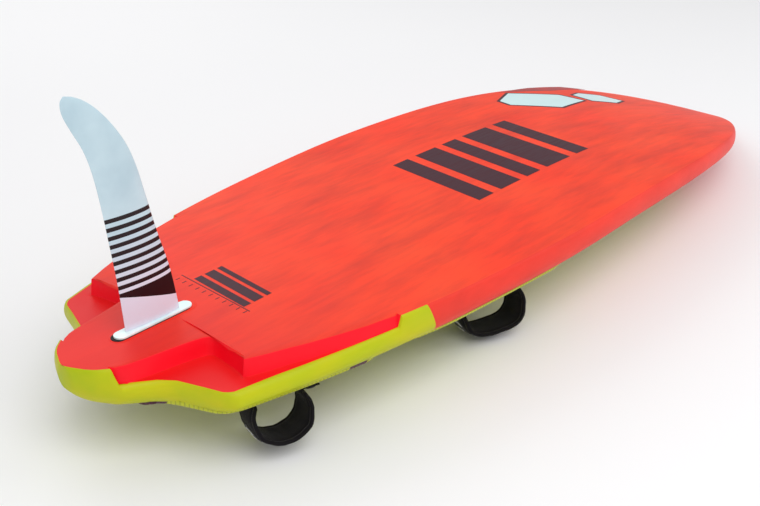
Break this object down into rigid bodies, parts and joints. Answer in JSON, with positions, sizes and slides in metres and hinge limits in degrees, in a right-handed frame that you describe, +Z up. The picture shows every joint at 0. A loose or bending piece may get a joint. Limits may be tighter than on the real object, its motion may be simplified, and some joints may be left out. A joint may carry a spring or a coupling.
{
  "type": "windsurf board",
  "caption": "Windsurf board lying bottom up, with a long raked fin in a screwed box, stepped tail cut-outs, padded foot straps, deck pads, a mast track and a vent screw.",
  "frame": {"origin": "on the floor, under the middle of the board's bounding box, as it lies bottom up on its front foot straps and its nose", "axes": "+X from the tail to the nose, +Z up, out of the board's bottom and along the fin, +Y to the side that is the rider's left when the board floats"},
  "size_m": [2.3368, 0.7516, 0.6594],
  "materials": {
    "core_foam": "fine closed-cell foam beads, dry and matt",
    "bottom_skin": "orange-red satin laminate with soft diagonal streaks and yellow-green tail rails",
    "deck_skin": "yellow-green satin laminate",
    "deck_pad": "soft cellular foam with a fine moulded grip texture",
    "moulded_plastic": "black glass-filled plastic with a fine spark texture",
    "fin_base_plastic": "pale cyan moulded base, satin",
    "fin_laminate": "pale blue wet-sanded laminate with dark stripes near its root",
    "seal_rubber": "black rubber, matt",
    "steel": "stainless steel, fine turned marks",
    "brass": "turned brass, satin",
    "strap_cover": "black knitted neoprene over foam, stitched edges",
    "webbing": "black woven webbing"
  },
  "bodies": {
    "board": {"foam_core": "core_foam", "bottom_shell": "bottom_skin", "deck_shell": "deck_skin", "deck_pad_front_right": "deck_pad", "deck_pad_front_left": "deck_pad", "deck_pad_rear_right": "deck_pad", "deck_pad_rear_left": "deck_pad", "fin_box": "moulded_plastic", "strap_webbing_front_right": "webbing", "strap_cover_front_right": "strap_cover", "strap_plate_front_right_inner": "moulded_plastic", "strap_screw_front_right_inner": "steel", "strap_plug_front_right_inner": "moulded_plastic", "strap_plate_front_right_outer": "moulded_plastic", "strap_screw_front_right_outer": "steel", "strap_plug_front_right_outer": "moulded_plastic", "strap_webbing_rear_right": "webbing", "strap_cover_rear_right": "strap_cover", "strap_plate_rear_right_inner": "moulded_plastic", "strap_screw_rear_right_inner": "steel", "strap_plug_rear_right_inner": "moulded_plastic", "strap_plate_rear_right_outer": "moulded_plastic", "strap_screw_rear_right_outer": "steel", "strap_plug_rear_right_outer": "moulded_plastic", "strap_webbing_front_left": "webbing", "strap_cover_front_left": "strap_cover", "strap_plate_front_left_inner": "moulded_plastic", "strap_screw_front_left_inner": "steel", "strap_plug_front_left_inner": "moulded_plastic", "strap_plate_front_left_outer": "moulded_plastic", "strap_screw_front_left_outer": "steel", "strap_plug_front_left_outer": "moulded_plastic", "strap_webbing_rear_left": "webbing", "strap_cover_rear_left": "strap_cover", "strap_plate_rear_left_inner": "moulded_plastic", "strap_screw_rear_left_inner": "steel", "strap_plug_rear_left_inner": "moulded_plastic", "strap_plate_rear_left_outer": "moulded_plastic", "strap_screw_rear_left_outer": "steel", "strap_plug_rear_left_outer": "moulded_plastic", "mast_track": "moulded_plastic", "vent_insert": "brass"},
    "fin": {"fin_blade": "fin_laminate", "fin_base": "fin_base_plastic", "fin_barrel_nut": "brass", "fin_gasket": "seal_rubber"},
    "fin_screw_carrier": {"fin_screw_washer": "steel"},
    "fin_screw_spindle": {"fin_screw": "steel"},
    "vent_screw_carrier": {"vent_o_ring": "seal_rubber"},
    "vent_screw_spindle": {"vent_screw": "steel"}
  },
  "joints": [
    {"name": "fin_slide", "type": "slide", "parent": "board", "child": "fin", "axis": [-0.0131, 0, 0.9999], "range_m": [0, 0.06]},
    {"name": "fin_screw_travel", "type": "slide", "parent": "board", "child": "fin_screw_carrier", "axis": [0.0131, 0, -0.9999], "range_m": [0, 0.025]},
    {"name": "fin_screw_turn", "type": "hinge", "parent": "fin_screw_carrier", "child": "fin_screw_spindle", "pos_m": [-0.97443, 0, 0.20404], "axis": [0.0131, 0, -0.9999], "range_deg": [0, 9001]},
    {"name": "vent_screw_travel", "type": "slide", "parent": "board", "child": "vent_screw_carrier", "axis": [-0.0486, 0, -0.9988], "range_m": [0, 0.012]},
    {"name": "vent_screw_turn", "type": "hinge", "parent": "vent_screw_carrier", "child": "vent_screw_spindle", "pos_m": [0.39321, 0, 0.087], "axis": [-0.0486, 0, -0.9988], "range_deg": [0, 2881]}
  ],
  "couplings": [
    {"joint": "fin_screw_turn", "follows": "fin_screw_travel", "rad_per_m": 6283.2},
    {"joint": "vent_screw_turn", "follows": "vent_screw_travel", "rad_per_m": 4188.8}
  ]
}
